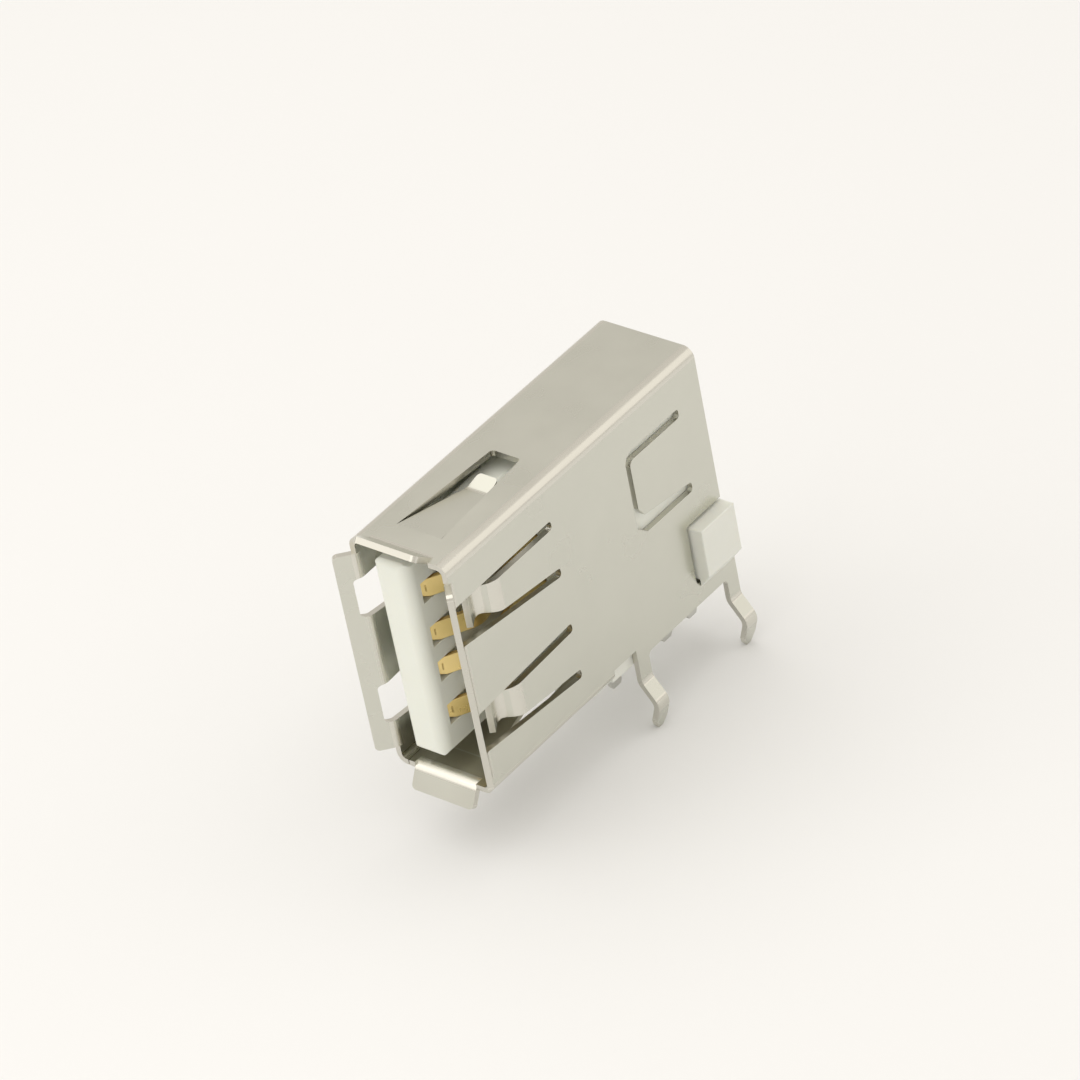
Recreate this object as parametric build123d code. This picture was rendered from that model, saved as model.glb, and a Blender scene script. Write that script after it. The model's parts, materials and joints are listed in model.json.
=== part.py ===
from build123d import *
import math
import os

# A stand-up type A socket for a circuit board. It sits on one narrow wall, so the mouth is tall.
# X runs across the narrow width, Y from the mouth towards the rear, and Z up from the board.
# The origin lies on the board, at the middle of the rectangle of the four shell legs.

# Folded shell
sheet = 0.30
shell_width = 5.72
shell_height = 13.10
shell_depth = 18.56
fold_inner_radius = 0.25
floor_depth = 9.30
floor_standoff = 0.35
seam_gap = 0.05
seam_inset = 0.66

# Flared lips round the mouth
lip_bend_radius = 0.30
lip_setback = 0.25
side_lip_angle = 45
side_lip_reach = 0.72
side_lip_length = 11.20
end_lip_bend_radius = 0.40
end_lip_setback = 0.50
roof_lip_angle = 38
roof_lip_reach = 0.78
floor_lip_angle = 60
floor_lip_reach = 1.00
end_lip_length = 3.65
lip_corner = 0.25

# Legs and the hole pattern of the board
leg_pitch = 7.00
pattern_from_mouth = 14.88
leg_width = 0.80
leg_below_board = 3.62
leg_kink_below_skirt = 1.35
leg_bulge = 0.80
leg_bulge_below_skirt = 2.45
leg_tip_return = 0.52
leg_bend_radius = 0.60
leg_tip_chamfer = 0.26
skirt_corner = 0.30
relief_height = 0.66

# Spring fingers of the tall walls
finger_heights = [9.30, 3.42]
finger_rises = [0.38, 0.12]
finger_root_width = 2.24
finger_knee_width = 1.72
finger_crest_width = 1.46
finger_tip_width = 1.70
finger_root_depth = 6.60
finger_knee_depth = 2.90
finger_crest_depth = 2.10
finger_tip_depth = 1.20
finger_press = 0.88
finger_tongue_gap = 0.22
finger_tip_return = 0.66
finger_bend_radius = 0.70
window_front_depth = -0.30
window_rear_depth = 7.15
window_front_width = 2.14
window_rear_width = 3.18
window_front_corner = 0.22
slot_end_round = 0.18

# Spring finger of each narrow wall, rooted at the mouth
end_finger_root_depth = 1.70
end_finger_root_width = 2.62
end_finger_crest_depth = 5.85
end_finger_crest_width = 1.26
end_finger_tip_depth = 6.75
end_finger_tip_width = 1.14
end_finger_tip_corner = 0.30
end_finger_tongue_gap = 0.15
end_finger_tip_lift = 0.28
end_window_rear_depth = 8.10
end_window_rear_width = 1.70
end_window_corner = 0.20

# Latch tab at the rear of each tall wall
tab_root_from_rear = 1.76
tab_length = 3.84
tab_top_height = 10.28
tab_bottom_height = 6.56
tab_bottom_rise = 0.46
tab_front_slot = 0.30
tab_side_slot = 0.50
tab_corner = 0.32
tab_lower_chamfer_deep = 0.36
tab_lower_chamfer_high = 0.54

# White insulator with the tongue
tongue_thickness = 1.84
tongue_face = 0.08
tongue_height = 11.10
tongue_front_depth = 0.15
tongue_contact_side_round = 0.65
tongue_back_side_round = 0.25
tongue_end_round = 0.40
tongue_corner = 0.40
base_front_depth = 8.80
base_rear_inset = 0.06
fit_gap = 0.04

# Tail guide under the insulator
guide_height = 1.50
guide_front_gap = 0.10
guide_ledge_depth = 8.10
guide_ledge_width = 4.60
guide_rear_overhang = 0.10
guide_edge_chamfer = 0.10

# Lugs of the tail guide, seated in notches of the shell
lug_front_depth = 16.08
lug_top_height = 4.30
lug_proud = 0.70
lug_notch_bottom_height = 1.30
lug_face_bottom_height = 1.65
lug_foot_height = 0.85
lug_ear_thickness = 0.90
lug_edge_round = 0.06
notch_gap = 0.20
notch_corner = 0.20

# Contacts
contact_sheet = 0.25
contact_width = 1.00
contact_inner_pitch = 2.00
contact_outer_pitch = 2.50
contact_nose_depth = 1.10
contact_nose_drop = 0.37
contact_nose_width = 0.66
contact_nose_taper = 0.45
contact_crest_depth = 3.30
contact_crest_rise = 1.05
contact_landing_depth = 7.90
contact_bend_radius = 1.20
contact_channel_gap = 0.06
tail_pitch = 2.00
tail_row_offset = 0.22
tail_width = 0.80
tail_below_board = 2.85
tail_point_length = 0.22
tail_point_width = 0.56

# Places that follow from the sizes above
mouth_y = -pattern_from_mouth
rear_y = mouth_y + shell_depth
floor_z = floor_standoff
roof_z = floor_z + shell_height
middle_z = floor_z + shell_height / 2
half_width = shell_width / 2
inner_half_width = half_width - sheet
wall_middle = half_width - sheet / 2
fold_outer_radius = fold_inner_radius + sheet
floor_end_y = mouth_y + floor_depth
leg_ys = [-leg_pitch / 2, leg_pitch / 2]
leg_front_edge = leg_ys[0] - leg_width / 2
leg_rear_edge = leg_ys[1] + leg_width / 2
back_finger_press = inner_half_width - (tongue_thickness - tongue_face) - finger_tongue_gap
end_finger_press = (shell_height - tongue_height) / 2 - sheet - end_finger_tongue_gap
base_corner = fold_inner_radius - fit_gap
tab_root = rear_y - tab_root_from_rear
tab_front = tab_root - tab_length
contact_channel_drop = contact_nose_drop + contact_sheet / 2 + contact_channel_gap
inner_offset = contact_inner_pitch / 2
outer_offset = inner_offset + contact_outer_pitch
contact_zs = [middle_z + offset for offset in (outer_offset, inner_offset, -inner_offset, -outer_offset)]
contacts = range(len(contact_zs))
tail_ys = [tail_row_offset + tail_pitch * ((len(contact_zs) - 1) / 2 - place) for place in contacts]

# How far a piece of a join runs into its neighbour, and how far a cut runs past the material
overlap = 0.10
clear = 1.00


def strip(points, radius, thickness):
    """Sheet seen edge-on: a line through the points, bent at each corner, with its thickness."""
    return trace(FilletPolyline(*points, radius=radius), thickness)


def across(outline, y, length):
    """Solid from an X-Z outline, from y towards the rear."""
    return extrude(Plane.XZ.offset(-y) * outline, amount=-length)


def through_wall(outline, inner_x, outer_x):
    """Solid from a Y-Z outline, between two places along X."""
    return extrude(Plane.YZ.offset(inner_x) * outline, amount=outer_x - inner_x)


def box_between(low, high):
    """Box from its lowest to its highest corner."""
    size = [high[axis] - low[axis] for axis in range(3)]
    centre = [(high[axis] + low[axis]) / 2 for axis in range(3)]
    return Pos(*centre) * Box(*size)


def outline_face(points):
    """Flat face inside straight edges."""
    return make_face(Polyline(*points, close=True))


def both_sides(solid):
    """The solid and its mirror image on the other tall wall."""
    return [solid, mirror(solid, about=Plane.YZ)]


def lip(angle, reach, length, bend_radius, setback):
    """Flared lip of a wall whose outer face is at x 0 and whose mouth is at y 0, along z."""
    turn = math.radians(angle)
    mid_radius = bend_radius + sheet / 2
    outer_rise = bend_radius * (1 - math.cos(turn))
    straight = (reach - outer_rise) / math.sin(turn)
    corner_y = setback - mid_radius * math.tan(turn / 2)
    run = straight + mid_radius * math.tan(turn / 2)
    points = [
        (-sheet / 2, setback + overlap),
        (-sheet / 2, corner_y),
        (-sheet / 2 + run * math.sin(turn), corner_y - run * math.cos(turn)),
    ]
    solid = extrude(strip(points, mid_radius, sheet), amount=length / 2, both=True)
    tip_edges = solid.edges().filter_by(lambda edge: abs(edge.length - sheet) < sheet / 100)
    return fillet(tip_edges.sort_by(Axis.Y)[:2], lip_corner)


def lip_root(length, setback):
    """Stretch of wall in front of the bend line that a lip takes the place of."""
    return box_between((-sheet - overlap, -clear, -length / 2), (overlap, setback, length / 2))


def shell_tube():
    """Closed tube of the folded sheet, open at the rear of its floor and slit at its seam."""
    outer = RectangleRounded(shell_width, shell_height, fold_outer_radius)
    inner = RectangleRounded(shell_width - 2 * sheet, shell_height - 2 * sheet, fold_inner_radius)
    tube = across(Pos(0, middle_z) * (outer - inner), mouth_y, shell_depth)
    relief_top = floor_z + relief_height
    tube -= box_between(
        (-half_width - clear, floor_end_y, floor_z - clear),
        (half_width + clear, rear_y + clear, relief_top),
    )
    seam_x = -half_width + seam_inset
    tube -= box_between(
        (seam_x - seam_gap / 2, mouth_y - clear, floor_z - clear),
        (seam_x + seam_gap / 2, floor_end_y + clear, floor_z + sheet + overlap),
    )
    return tube


def skirt():
    """Lower edge of a tall wall behind the floor, with the roots of its two legs."""
    top = floor_z + relief_height + overlap
    root_bottom = floor_z - leg_kink_below_skirt / 2
    plate = outline_face(
        [(leg_front_edge, floor_z), (rear_y, floor_z), (rear_y, top), (leg_front_edge, top)]
    )
    heel_top = floor_z + lug_notch_bottom_height - notch_gap
    heel_front = rear_y - leg_width
    plate += outline_face(
        [(heel_front, floor_z), (leg_rear_edge, floor_z), (leg_rear_edge, heel_top), (heel_front, heel_top)]
    )
    for leg_y in leg_ys:
        low = leg_y - leg_width / 2
        high = leg_y + leg_width / 2
        root_top = floor_z + overlap
        plate += outline_face([(low, root_bottom), (high, root_bottom), (high, root_top), (low, root_top)])
    corners = [
        vertex
        for vertex in plate.vertices()
        if abs(vertex.Y - floor_z) < overlap / 10 and leg_front_edge + overlap < vertex.X < rear_y - overlap
    ]
    return through_wall(fillet(corners, skirt_corner), inner_half_width, half_width)


def leg(leg_y):
    """Board lock: the sheet runs down, kinks outwards and comes back to a narrow tip."""
    tip_z = -leg_below_board
    points = [
        (wall_middle, floor_z),
        (wall_middle, floor_z - leg_kink_below_skirt),
        (wall_middle + leg_bulge, floor_z - leg_bulge_below_skirt),
        (wall_middle + leg_bulge - leg_tip_return, tip_z),
    ]
    ribbon = across(strip(points, leg_bend_radius, sheet), leg_y - leg_width / 2, leg_width)
    low = leg_y - leg_width / 2
    high = leg_y + leg_width / 2
    shoulder = tip_z + 2 * leg_tip_chamfer
    front = outline_face(
        [
            (low, floor_z + overlap),
            (low, shoulder),
            (low + leg_tip_chamfer, tip_z - overlap),
            (high - leg_tip_chamfer, tip_z - overlap),
            (high, shoulder),
            (high, floor_z + overlap),
        ]
    )
    return ribbon & through_wall(front, inner_half_width - clear, half_width + leg_bulge + clear)


def finger_centre(place, y):
    """Height of the middle line of a finger and its window, which may rise towards the mouth."""
    front = mouth_y + window_front_depth
    rear = mouth_y + window_rear_depth
    return floor_z + finger_heights[place] + finger_rises[place] * (rear - y) / (rear - front)


def tapered_outline(place, stations):
    """Y-Z outline about the middle line of a finger, from its widths at several places along Y."""
    upper = [(y, finger_centre(place, y) + width / 2) for y, width in stations]
    lower = [(y, finger_centre(place, y) - width / 2) for y, width in reversed(stations)]
    return outline_face(upper + lower)


def side_finger_outline(place):
    """Finger seen square to the wall: it narrows from its root to the crest and widens at the tip."""
    return tapered_outline(
        place,
        [
            (mouth_y + finger_tip_depth - overlap, finger_tip_width),
            (mouth_y + finger_crest_depth, finger_crest_width),
            (mouth_y + finger_knee_depth, finger_knee_width),
            (mouth_y + window_rear_depth + overlap, finger_root_width),
        ],
    )


def side_window(place):
    """Opening in a tall wall round one spring finger: two slots that meet in front of its tip."""
    front = mouth_y + window_front_depth
    rear = mouth_y + window_rear_depth
    root = mouth_y + finger_root_depth
    opening = tapered_outline(place, [(front, window_front_width), (rear, window_rear_width)])
    slots = opening - side_finger_outline(place)
    slot_ends = [vertex for vertex in slots.vertices() if abs(vertex.X - rear) < overlap / 10]
    slots = fillet(slot_ends, slot_end_round)
    ahead_of_root = outline_face([(front, floor_z), (root, floor_z), (root, roof_z), (front, roof_z)])
    window = slots + (opening & ahead_of_root)
    front_corners = [vertex for vertex in window.vertices() if abs(vertex.X - front) < overlap / 10]
    return fillet(front_corners, window_front_corner)


def side_finger(place, press):
    """Spring finger of a tall wall: flat to its knee, then inwards to its crest and out at its tip."""
    crest_x = wall_middle - press
    points = [
        (wall_middle, mouth_y + finger_root_depth + 2 * overlap),
        (wall_middle, mouth_y + finger_knee_depth),
        (crest_x, mouth_y + finger_crest_depth),
        (crest_x + press * finger_tip_return, mouth_y + finger_tip_depth),
    ]
    bend = strip(points, finger_bend_radius, sheet)
    ribbon = extrude(Plane.XY.offset(floor_z) * bend, amount=shell_height)
    return ribbon & through_wall(side_finger_outline(place), 0, half_width + clear)


def end_finger_outline(root):
    """Finger of a narrow wall seen square to it, in X and Y, with a rounded tip."""
    crest = mouth_y + end_finger_crest_depth
    tip = mouth_y + end_finger_tip_depth
    half_shape = [
        (end_finger_root_width / 2, root),
        (end_finger_crest_width / 2, crest),
        (end_finger_tip_width / 2, tip),
    ]
    other_half = [(-x, y) for x, y in reversed(half_shape)]
    outline = outline_face(half_shape + other_half)
    tip_corners = [vertex for vertex in outline.vertices() if vertex.Y > tip - overlap]
    return fillet(tip_corners, end_finger_tip_corner)


def end_window():
    """Opening in a narrow wall round its finger, a V that is closed at its root."""
    root = mouth_y + end_finger_root_depth
    rear = mouth_y + end_window_rear_depth
    opening = outline_face(
        [
            (end_finger_root_width / 2, root),
            (end_window_rear_width / 2, rear),
            (-end_window_rear_width / 2, rear),
            (-end_finger_root_width / 2, root),
        ]
    )
    rear_corners = [vertex for vertex in opening.vertices() if vertex.Y > rear - overlap]
    return fillet(rear_corners, end_window_corner)


def end_finger():
    """Spring finger of the roof: from its root at the mouth it slopes in, and its tip curls out."""
    root = mouth_y + end_finger_root_depth
    roof_middle = roof_z - sheet / 2
    crest_z = roof_middle - end_finger_press
    points = [
        (root - 2 * overlap, roof_middle),
        (root, roof_middle),
        (mouth_y + end_finger_crest_depth, crest_z),
        (mouth_y + end_finger_tip_depth, crest_z + end_finger_tip_lift),
    ]
    bend = strip(points, finger_bend_radius, sheet)
    ribbon = extrude(Plane.YZ * bend, amount=end_finger_root_width, both=True)
    outline = end_finger_outline(root - overlap)
    return ribbon & extrude(Plane.XY.offset(middle_z) * outline, amount=shell_height)


def tab_outline():
    """Latch tab seen square to the wall: its lower edge rises to a corner that is cut off."""
    top = floor_z + tab_top_height
    bottom = floor_z + tab_bottom_height
    front_bottom = bottom + tab_bottom_rise
    root = tab_root + overlap
    outline = outline_face(
        [
            (root, top),
            (tab_front, top),
            (tab_front, front_bottom + tab_lower_chamfer_high),
            (tab_front + tab_lower_chamfer_deep, front_bottom),
            (tab_root, bottom),
            (root, bottom),
        ]
    )
    top_corner = outline.vertices().group_by(Axis.X)[0].sort_by(Axis.Y)[-1]
    return fillet(top_corner, tab_corner)


def tab_slot():
    """Slot round three sides of the latch tab, with rounded rear ends."""
    front = tab_front - tab_front_slot
    top = floor_z + tab_top_height + tab_side_slot
    bottom = floor_z + tab_bottom_height - tab_side_slot
    opening = outline_face(
        [
            (tab_root, top),
            (front, top),
            (front, bottom + tab_lower_chamfer_high),
            (front + tab_front_slot + tab_lower_chamfer_deep, bottom),
            (tab_root, bottom),
        ]
    )
    top_corner = opening.vertices().group_by(Axis.X)[0].sort_by(Axis.Y)[-1]
    opening = fillet(top_corner, tab_corner + tab_front_slot)
    slot = opening - tab_outline()
    ends = [vertex for vertex in slot.vertices() if abs(vertex.X - tab_root) < overlap / 10]
    return fillet(ends, slot_end_round)


def lug_notch():
    """Notch of the shell for a lug, open to the rear."""
    front = mouth_y + lug_front_depth - notch_gap
    bottom = floor_z + lug_notch_bottom_height - notch_gap
    top = floor_z + lug_top_height + notch_gap
    notch = outline_face([(front, bottom), (rear_y + clear, bottom), (rear_y + clear, top), (front, top)])
    front_corners = [vertex for vertex in notch.vertices() if vertex.X < front + overlap]
    return fillet(front_corners, notch_corner)


def make_shell():
    """The whole folded shell: tube, lips, windows, fingers, tabs, notches, skirts and legs."""
    shell = shell_tube()
    for part in both_sides(skirt()):
        shell += part
    side_place = Pos(half_width, mouth_y, middle_z)
    roof_place = Pos(0, mouth_y, roof_z) * Rot(0, -90, 0)
    floor_place = Pos(0, mouth_y, floor_z) * Rot(0, 90, 0)
    for part in both_sides(side_place * lip_root(side_lip_length, lip_setback)):
        shell -= part
    end_lips = [(roof_place, roof_lip_angle, roof_lip_reach), (floor_place, floor_lip_angle, floor_lip_reach)]
    for place, angle, reach in end_lips:
        shell -= place * lip_root(end_lip_length, end_lip_setback)
        shell += place * lip(angle, reach, end_lip_length, end_lip_bend_radius, end_lip_setback)
    side_lip = lip(side_lip_angle, side_lip_reach, side_lip_length, lip_bend_radius, lip_setback)
    for part in both_sides(side_place * side_lip):
        shell += part
    fingers = range(len(finger_heights))
    outlines = [side_window(place) for place in fingers] + [tab_slot(), lug_notch()]
    for outline in outlines:
        cutter = through_wall(outline, inner_half_width - overlap, half_width + side_lip_reach)
        for part in both_sides(cutter):
            shell -= part
    wall_window = extrude(Plane.XY.offset(roof_z + overlap) * end_window(), amount=-sheet - 2 * overlap)
    roof_finger = end_finger()
    middle_plane = Plane.XY.offset(middle_z)
    shell -= wall_window
    shell -= mirror(wall_window, about=middle_plane)
    shell += roof_finger
    shell += mirror(roof_finger, about=middle_plane)
    for place in fingers:
        shell += side_finger(place, finger_press)
        shell += mirror(side_finger(place, back_finger_press), about=Plane.YZ)
    for leg_y in leg_ys:
        for part in both_sides(leg(leg_y)):
            shell += part
    return shell


def contact_flat(place, gap, bottom):
    """L-shaped outline of a contact in Y and Z, widened by a gap, down to a given height."""
    z = contact_zs[place]
    y = tail_ys[place]
    front = mouth_y + contact_landing_depth
    half_bar = contact_width / 2 + gap
    half_arm = tail_width / 2 + gap
    return outline_face(
        [
            (front, z - half_bar),
            (y - half_arm, z - half_bar),
            (y - half_arm, bottom),
            (y + half_arm, bottom),
            (y + half_arm, z + half_bar),
            (front, z + half_bar),
        ]
    )


def tail_point(place):
    """Tapered end of a contact tail, in Y and Z."""
    y = tail_ys[place]
    tip = -tail_below_board
    shoulder = tip + tail_point_length
    return outline_face(
        [
            (y - tail_width / 2, shoulder),
            (y - tail_point_width / 2, tip),
            (y + tail_point_width / 2, tip),
            (y + tail_width / 2, shoulder),
        ]
    )


def make_contact(place):
    """Stamped contact: a bowed spring on the tongue, a bar, an arm and a pointed tail."""
    z = contact_zs[place]
    plate_outline = contact_flat(place, 0, -tail_below_board + tail_point_length) + tail_point(place)
    plate = through_wall(plate_outline, -contact_sheet / 2, contact_sheet / 2)
    points = [
        (0, mouth_y + contact_landing_depth + overlap),
        (0, mouth_y + contact_landing_depth - contact_bend_radius / 2),
        (contact_crest_rise, mouth_y + contact_crest_depth),
        (-contact_nose_drop, mouth_y + contact_nose_depth),
    ]
    bow = strip(points, contact_bend_radius, contact_sheet)
    ribbon = extrude(Plane.XY.offset(z - contact_width / 2) * bow, amount=contact_width)
    nose = mouth_y + contact_nose_depth - overlap
    nose_shape = outline_face(
        [
            (nose, z - contact_nose_width / 2),
            (nose, z + contact_nose_width / 2),
            (nose + contact_nose_taper + overlap, z + contact_width / 2),
            (mouth_y + contact_landing_depth + clear, z + contact_width / 2),
            (mouth_y + contact_landing_depth + clear, z - contact_width / 2),
            (nose + contact_nose_taper + overlap, z - contact_width / 2),
        ]
    )
    return plate + (ribbon & through_wall(nose_shape, -clear, clear + contact_crest_rise))


def guide_envelope(gap):
    """Block and ears of the tail guide inside the shell, grown by a gap towards the insulator."""
    side = inner_half_width - fit_gap + gap
    front = floor_end_y + guide_front_gap
    rear = rear_y + guide_rear_overhang
    block = box_between((-side, front - gap, 0), (side, rear + gap, guide_height + gap))
    ear = box_between(
        (side - lug_ear_thickness - 2 * gap, mouth_y + lug_front_depth - gap, 0),
        (side, rear + gap, floor_z + lug_top_height + gap),
    )
    for part in both_sides(ear):
        block += part
    return block


def make_guide():
    """Tail guide: a block on the board with four holes, a thin front ledge and two side lugs."""
    guide = guide_envelope(0)
    bottom_edges = guide.edges().filter_by(lambda edge: edge.center().Z < overlap / 10)
    guide = chamfer(bottom_edges, guide_edge_chamfer)
    ledge_y = mouth_y + guide_ledge_depth
    guide += box_between(
        (-guide_ledge_width / 2, ledge_y, 0),
        (guide_ledge_width / 2, floor_end_y + guide_front_gap + overlap, floor_standoff - fit_gap),
    )
    lug_x = half_width + lug_proud
    lug = across(
        outline_face(
            [
                (inner_half_width - sheet, floor_z + lug_top_height),
                (lug_x, floor_z + lug_top_height),
                (lug_x, floor_z + lug_face_bottom_height),
                (half_width + fit_gap, floor_z + lug_foot_height),
                (half_width + fit_gap, floor_z + lug_notch_bottom_height),
                (inner_half_width - sheet, floor_z + lug_notch_bottom_height),
            ]
        ),
        mouth_y + lug_front_depth,
        rear_y + guide_rear_overhang - mouth_y - lug_front_depth,
    )
    outer_edges = lug.edges().filter_by(lambda edge: edge.center().X > lug_x - overlap / 10)
    lug = fillet(outer_edges, lug_edge_round)
    for part in both_sides(lug):
        guide += part
    for place in contacts:
        hole = contact_flat(place, contact_channel_gap, -clear)
        half_hole = contact_sheet / 2 + contact_channel_gap
        guide -= through_wall(hole, -half_hole, half_hole)
    return guide


def make_tongue():
    """Tongue with a broad round on its contact side, a small one behind, and rounded corners."""
    front = mouth_y + tongue_front_depth
    rear = mouth_y + base_front_depth + overlap
    back_face = tongue_face - tongue_thickness
    plan = outline_face([(tongue_face, rear), (tongue_face, front), (back_face, front), (back_face, rear)])
    contact_side_corner = plan.vertices().group_by(Axis.Y)[0].sort_by(Axis.X)[-1]
    plan = fillet(contact_side_corner, tongue_contact_side_round)
    back_side_corner = plan.vertices().group_by(Axis.Y)[0].sort_by(Axis.X)[0]
    plan = fillet(back_side_corner, tongue_back_side_round)
    section = RectangleRounded(tongue_thickness, tongue_height, tongue_corner)
    bar = across(Pos(tongue_face - tongue_thickness / 2, middle_z) * section, front, rear - front)
    bar &= extrude(Plane.XY.offset(floor_z) * plan, amount=shell_height)
    side = RectangleRounded(shell_depth, tongue_height, tongue_end_round)
    placed_side = Pos(front + shell_depth / 2, middle_z) * side
    return bar & through_wall(placed_side, back_face - clear, tongue_face + clear)


def make_housing():
    """White insulator: a base that fills the shell and a tongue with four contact channels."""
    side = inner_half_width - fit_gap
    height = shell_height - 2 * sheet - 2 * fit_gap
    section = Pos(0, middle_z) * RectangleRounded(2 * side, height, base_corner)
    base_front = mouth_y + base_front_depth
    base = across(section, base_front, rear_y - base_rear_inset - base_front)
    base -= guide_envelope(fit_gap)
    housing = base + make_tongue()
    half_channel = contact_sheet / 2 + contact_channel_gap
    for place in contacts:
        z = contact_zs[place]
        half_height = contact_width / 2 + contact_channel_gap
        channel_front = mouth_y + contact_nose_depth - 2 * contact_channel_gap
        housing -= box_between(
            (-contact_channel_drop, channel_front, z - half_height),
            (clear, base_front, z + half_height),
        )
        slot = contact_flat(place, contact_channel_gap, -clear)
        housing -= through_wall(slot, -half_channel, half_channel)
    return housing


os.makedirs("parts", exist_ok=True)
export_step(make_shell(), "parts/shell.step")
export_step(make_housing(), "parts/housing.step")
export_step(make_guide(), "parts/tail_guide.step")
for place in contacts:
    export_step(make_contact(place), f"parts/contact_{place + 1}.step")
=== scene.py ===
# %% [markdown]
# # Looks of an upright type A socket
# The socket is a folded steel shell around a plastic tongue with four contact strips, on legs that
# are soldered into a circuit board. The solids already hold every main form. This lesson gives them
# their looks: rolled edges, plated steel with a satin skin, white moulded plastic, and gilt strips
# with tinned tails. The frame is loaded first, because every piece here is made from the solids or
# fitted to them.

# %% Load the frame
import bpy
import bmesh
import json
import math
from mathutils import Matrix, Vector
from mathutils.bvhtree import BVHTree

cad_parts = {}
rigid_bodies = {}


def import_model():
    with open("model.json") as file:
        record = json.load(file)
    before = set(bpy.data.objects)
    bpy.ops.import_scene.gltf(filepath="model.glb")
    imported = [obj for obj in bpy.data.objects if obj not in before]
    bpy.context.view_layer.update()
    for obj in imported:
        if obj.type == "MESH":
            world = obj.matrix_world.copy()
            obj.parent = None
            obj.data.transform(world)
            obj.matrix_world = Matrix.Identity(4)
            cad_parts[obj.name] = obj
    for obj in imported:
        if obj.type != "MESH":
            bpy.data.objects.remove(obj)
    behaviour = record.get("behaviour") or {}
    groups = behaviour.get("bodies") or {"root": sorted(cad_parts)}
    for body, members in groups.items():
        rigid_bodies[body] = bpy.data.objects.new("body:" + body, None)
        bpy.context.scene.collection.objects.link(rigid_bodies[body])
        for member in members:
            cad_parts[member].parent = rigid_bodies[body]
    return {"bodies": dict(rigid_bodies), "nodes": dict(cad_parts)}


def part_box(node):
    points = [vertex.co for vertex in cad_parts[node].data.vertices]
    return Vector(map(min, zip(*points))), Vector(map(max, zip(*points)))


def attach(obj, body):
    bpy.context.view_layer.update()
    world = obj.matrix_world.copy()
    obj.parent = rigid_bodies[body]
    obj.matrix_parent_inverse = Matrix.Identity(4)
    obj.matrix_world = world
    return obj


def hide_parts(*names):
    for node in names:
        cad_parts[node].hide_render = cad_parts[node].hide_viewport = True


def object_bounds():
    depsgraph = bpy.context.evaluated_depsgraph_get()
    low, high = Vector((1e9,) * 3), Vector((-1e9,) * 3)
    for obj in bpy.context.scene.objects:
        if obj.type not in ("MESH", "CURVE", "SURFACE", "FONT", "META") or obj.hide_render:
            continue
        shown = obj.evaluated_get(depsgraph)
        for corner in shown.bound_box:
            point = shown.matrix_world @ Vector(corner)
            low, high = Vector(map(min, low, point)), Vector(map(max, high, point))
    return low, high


MM = 0.001
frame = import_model()
solid_low, solid_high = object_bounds()
nodes = frame["nodes"]
print("solids:", sorted(nodes))
print("box in mm:", [round(v / MM, 2) for v in (*solid_low, *solid_high)])

# %% [markdown]
# The shell is one sheet of steel, and its looks start from its solid. The solids arrive as loose
# triangles. They could be shaded as they are, but a bevel needs real edges between real faces. So a
# copy is merged and its flat triangles are joined again. The copy keeps the place of the solid, and
# the solid itself is left as it is.

# %% Merge a copy of a solid
SHARP = math.radians(32)
SAME_PLANE = math.radians(0.5)
SAME_CORNER = 0.0005 * MM


def merged_copy(node):
    """Mesh object like the solid, with shared corners, joined flat faces and marked sharp edges."""
    mesh = nodes[node].data.copy()
    piece = bpy.data.objects.new(node + "_skin", mesh)
    bpy.context.scene.collection.objects.link(piece)
    work = bmesh.new()
    work.from_mesh(mesh)
    bmesh.ops.remove_doubles(work, verts=work.verts, dist=SAME_CORNER)
    bmesh.ops.dissolve_limit(
        work, angle_limit=SAME_PLANE, verts=work.verts, edges=work.edges, use_dissolve_boundaries=False
    )
    for face in work.faces:
        face.smooth = True
    for edge in work.edges:
        edge.smooth = len(edge.link_faces) == 2 and edge.calc_face_angle(0) < SHARP
    work.to_mesh(mesh)
    print(node, "merged:", len(work.verts), "corners,", len(work.faces), "faces")
    work.free()
    if mesh.has_custom_normals:
        mesh.attributes.remove(mesh.attributes["custom_normal"])
    return piece


shell = merged_copy("shell")

# %% [markdown]
# A flat wall has to shade flat right up to its folds. Plain smooth shading lets a narrow bevel tilt
# the light of the whole wall beside it. Weighted normals help, but they look at one face at a time,
# and a pierced wall is many faces. So the faces that lie in one plane are gathered into regions,
# and each corner takes the normal of the broadest regions that meet there. Only the narrow bevels
# and the folds then blend.

# %% Settle the normals of flat walls
FLAT = math.cos(math.radians(0.6))
BROAD_SHARE = 0.4


def flat_regions(work):
    """Groups of faces that touch and lie in one plane."""
    placed = set()
    for seed in work.faces:
        if seed in placed:
            continue
        region, queue = {seed}, [seed]
        while queue:
            for edge in queue.pop().edges:
                for face in edge.link_faces:
                    if face not in region and face.normal.dot(seed.normal) > FLAT:
                        region.add(face)
                        queue.append(face)
        placed |= region
        yield region


def smooth_fans(corner):
    """Groups of faces around a corner that no sharp edge parts."""
    waiting = set(corner.link_faces)
    while waiting:
        fan, queue = set(), [waiting.pop()]
        while queue:
            face = queue.pop()
            fan.add(face)
            for edge in face.edges:
                if corner in edge.verts and edge.smooth:
                    queue.extend(other for other in edge.link_faces if other in waiting)
                    waiting.difference_update(edge.link_faces)
        yield fan


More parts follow.
